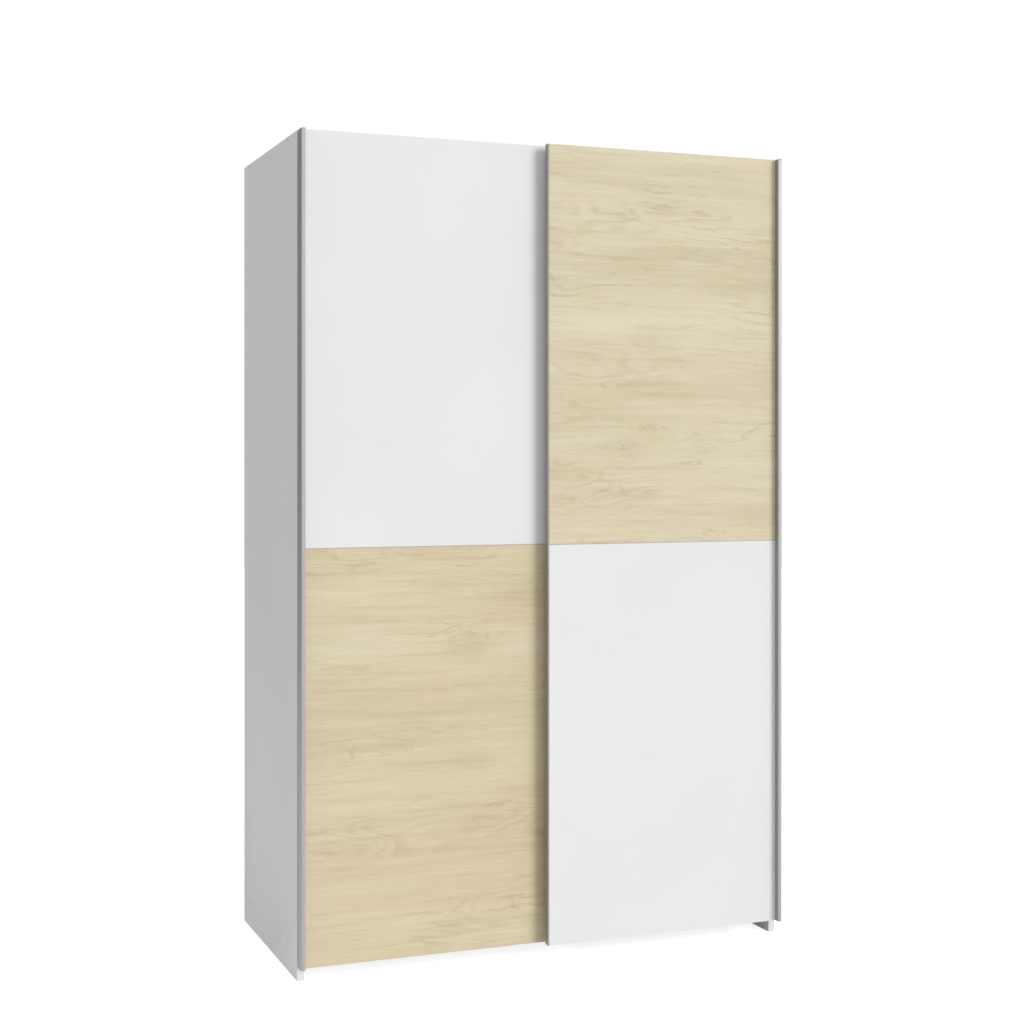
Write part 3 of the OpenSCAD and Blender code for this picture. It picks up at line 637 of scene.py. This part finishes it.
def turned(profile, centre, around):
    # A profile of (a, r) turned about Y: point = centre + (r cos t, a, r sin t).
    t = np.linspace(0, 2 * math.pi, around, endpoint=False)
    along, radius = profile[:, :1], profile[:, 1:]
    grid = np.zeros((len(profile), around, 3))
    grid[..., 0] = centre[0] + radius * np.cos(t)
    grid[..., 1] = centre[1] + along
    grid[..., 2] = centre[2] + radius * np.sin(t)
    return grid


def joinRings(piece, mergeWithin=1e-7, sharpFrom=35):
    # Merges the first ring with the last, turns the faces outwards and smooths all but sharp edges.
    work = bmesh.new()
    work.from_mesh(piece.data)
    bmesh.ops.remove_doubles(work, verts=work.verts, dist=mergeWithin)
    bmesh.ops.recalc_face_normals(work, faces=work.faces)
    work.to_mesh(piece.data)
    work.free()
    piece.data.polygons.foreach_set("use_smooth", np.ones(len(piece.data.polygons), bool))
    piece.data.set_sharp_from_angle(angle=math.radians(sharpFrom))


roller = {
    "bore": 0.00306,
    "boreEase": 0.0003,
    "hub": 0.0052,
    "dish": 0.0012,        # depth of the recess between hub and rim
    "draft": 0.0006,       # slope of the recess's sides
    "rim": 0.0085,
    "groove": 0.0018,      # radius of the groove that runs on the rib
    "grooveLip": 0.0005,   # how far the groove's middle lies inside the rim
    "grooveSweep": 1.35,   # radians to each side of the groove's bottom
    "edge": 0.0006,
    "around": 64,
}


def makeRoller(node):
    # Grooved nylon roller: bore, hub, dished web and rim with a round groove, turned about Y.
    low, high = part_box(node)
    centre = [(low[k] + high[k]) / 2 for k in range(3)]
    half, radius = (high.y - low.y) / 2, (high.x - low.x) / 2
    bore, ease, edge = roller["bore"], roller["boreEase"], roller["edge"]
    web = half - roller["dish"]
    sweep = np.linspace(-roller["grooveSweep"], roller["grooveSweep"], 15)
    groove = np.stack([roller["groove"] * np.sin(sweep),
                       radius - roller["grooveLip"] - roller["groove"] * np.cos(sweep)], 1)
    hub, rim, draft, corner = roller["hub"], roller["rim"], roller["draft"], edge * 0.3
    side = np.array([(half, bore + ease), (half, hub), (web, hub + draft), (web, rim - draft),
                     (half, rim), (half, radius - edge), (half - corner, radius - corner),
                     (half - edge, radius)])
    start, stop = [(ease - half, bore)], [(half - ease, bore)]
    profile = np.concatenate([start, side * [-1, 1], groove, side[::-1], stop, start])
    grid = turned(profile, centre, roller["around"])
    joinRings(newPiece(node + "_turned", grid, node, capEnds=False))


for rollerNode in [n for n in nodes if n.endswith("_roller")]:
    makeRoller(rollerNode)

hangingRail = {"wall": 0.0012, "steps": 20}


def makeHangingRail():
    # Oval tube: the stadium outline, half circles of radius w/2 about two centres, carried along X.
    node = "hanging_rail"
    low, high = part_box(node)
    radius = (high.y - low.y) / 2
    reach = (high.z - low.z) / 2 - radius
    middleY, middleZ = (low.y + high.y) / 2, (low.z + high.z) / 2
    t = np.linspace(0, math.pi, hangingRail["steps"])

    def stadium(r):
        top = np.stack([middleY + r * np.cos(t), middleZ + reach + r * np.sin(t)], 1)
        return np.concatenate([top, 2 * np.array([middleY, middleZ]) - top])

    outer, inner = stadium(radius), stadium(radius - hangingRail["wall"])
    rings = [(outer, low.x), (outer, high.x), (inner, high.x), (inner, low.x), (outer, low.x)]
    grid = np.stack([np.column_stack([np.full(len(o), x), o]) for o, x in rings])
    joinRings(newPiece(node + "_tube", grid, node, capEnds=False))


makeHangingRail()
print("rollers and hanging rail made")


# Steel brackets and small fittings

fittings = {
    "edge": 0.0003,
    "eased": ["left_door_hangers", "right_door_hangers", "left_door_guides", "right_door_guides",
              "wall_brackets", "rail_supports", "track_end_stops",
              "left_door_grip_caps", "right_door_grip_caps", "top_track", "bottom_guide_rail",
              "back_joining_profile", "left_door_joint_strip", "right_door_joint_strip",
              "centre_foot", "screw_caps"],
}
for easedNode in fittings["eased"]:
    easedCopy(easedNode, fittings["edge"])

shownAsBuilt = [n for n in nodes if not nodes[n].hide_render]
for plainNode in shownAsBuilt:
    dress(nodes[plainNode], finishFor(plainNode))
print("fittings dressed:", len(shownAsBuilt))


# Room and light

studio = {
    "worldLight": 0.54,
    "sunStrength": 1.5,
    "sunSpread": 28,           # degrees across, which sets how soft the doors' shadows are
    "sunFrom": (0.58, -0.86, 0.34),
}

floorDisc = {
    "tone": 0.80,
    "glow": 0.80,
    "radius": 14.0,
    "rings": 12,
    "around": 64,
    "drop": 0.0004,            # just below the feet
}

reflectionCard = {"low": (-6.5, 1.5, 0.0), "high": (-0.9, 5.5, 4.0), "tone": 0.3}


def seenDirectly(tree):
    # 1 for rays from the camera, in reflections and through glass, 0 for all other rays.
    path = addNode(tree, "ShaderNodeLightPath")
    seen = maths(tree, "MAXIMUM", path.outputs["Is Camera Ray"], path.outputs["Is Glossy Ray"])
    return maths(tree, "MAXIMUM", seen, path.outputs["Is Transmission Ray"])


def makeWorld():
    # White for the camera and in reflections, a plain even light for everything else.
    world = bpy.data.worlds.new("studio")
    bpy.context.scene.world = world
    world.use_nodes = True
    tree = world.node_tree
    background = tree.nodes["Background"]
    background.inputs["Color"].default_value = (1, 1, 1, 1)
    strength = addNode(tree, "ShaderNodeMapRange")
    wire(tree, seenDirectly(tree), strength.inputs["Value"])
    strength.inputs["To Min"].default_value = studio["worldLight"]
    strength.inputs["To Max"].default_value = 1.0
    wire(tree, strength.outputs["Result"], background.inputs["Strength"])


def makeFloor():
    # A wide disc just below z = 0: ring i has radius r_i, with places at angles t_j. It adds a glow
    # to the camera, so it is white where lit and keeps a soft grey where the wardrobe shades it.
    rings, around = floorDisc["rings"] - 1, floorDisc["around"]
    radii = np.linspace(0.0, floorDisc["radius"], floorDisc["rings"])[1:, None]
    t = np.linspace(0, 2 * math.pi, around, endpoint=False)
    level = np.zeros((rings, around)) - floorDisc["drop"]
    grid = np.stack([radii * np.cos(t), radii * np.sin(t), level], -1)
    faces = ringQuads(rings, around)[:, ::-1].tolist() + [list(range(around))]
    mesh = bpy.data.meshes.new("floor")
    mesh.from_pydata(grid.reshape(-1, 3).tolist(), [], faces)
    floor = bpy.data.objects.new("floor", mesh)
    bpy.context.scene.collection.objects.link(floor)
    material = bpy.data.materials.new("floorPaint")
    material.use_nodes = True
    tree = material.node_tree
    tree.nodes.remove(tree.nodes["Principled BSDF"])
    diffuse = addNode(tree, "ShaderNodeBsdfDiffuse")
    diffuse.inputs["Color"].default_value = (floorDisc["tone"],) * 3 + (1,)
    glow = addNode(tree, "ShaderNodeEmission")
    shown = maths(tree, "MULTIPLY", seenDirectly(tree), floorDisc["glow"])
    wire(tree, shown, glow.inputs["Strength"])
    both = addNode(tree, "ShaderNodeAddShader")
    wire(tree, diffuse.outputs[0], both.inputs[0])
    wire(tree, glow.outputs[0], both.inputs[1])
    wire(tree, both.outputs[0], tree.nodes["Material Output"].inputs["Surface"])
    floor.data.materials.append(material)


def makeSun(name, source, spread, strength):
    # A soft sun from the direction source; its tilt from upright is atan2(flat length, height).
    data = bpy.data.lights.new(name, "SUN")
    data.angle = math.radians(spread)
    data.energy = strength
    lamp = bpy.data.objects.new(name, data)
    lamp.rotation_euler = (math.atan2(math.hypot(source[0], source[1]), source[2]), 0,
                           math.atan2(source[1], source[0]) + math.pi / 2)
    bpy.context.scene.collection.objects.link(lamp)


def makeCard(settings):
    # A dark upright board behind and to the left, seen only in reflections; it darkens the metal.
    left, near, bottom = settings["low"]
    right, far, top = settings["high"]
    corners = [(left, near, bottom), (right, far, bottom), (right, far, top), (left, near, top)]
    mesh = bpy.data.meshes.new("reflectionCard")
    mesh.from_pydata(corners, [], [[0, 1, 2, 3]])
    card = bpy.data.objects.new("reflectionCard", mesh)
    bpy.context.scene.collection.objects.link(card)
    material = bpy.data.materials.new("cardCloth")
    material.use_nodes = True
    shader = material.node_tree.nodes["Principled BSDF"]
    shader.inputs["Base Color"].default_value = (settings["tone"],) * 3 + (1,)
    shader.inputs["Roughness"].default_value = 1.0
    card.data.materials.append(material)
    for ray in ("camera", "diffuse", "transmission", "volume_scatter", "shadow"):
        setattr(card, "visible_" + ray, False)


makeWorld()
makeFloor()
makeCard(reflectionCard)
makeSun("softSun", studio["sunFrom"], studio["sunSpread"], studio["sunStrength"])
bpy.context.scene.view_settings.view_transform = "Standard"
print("room lit")
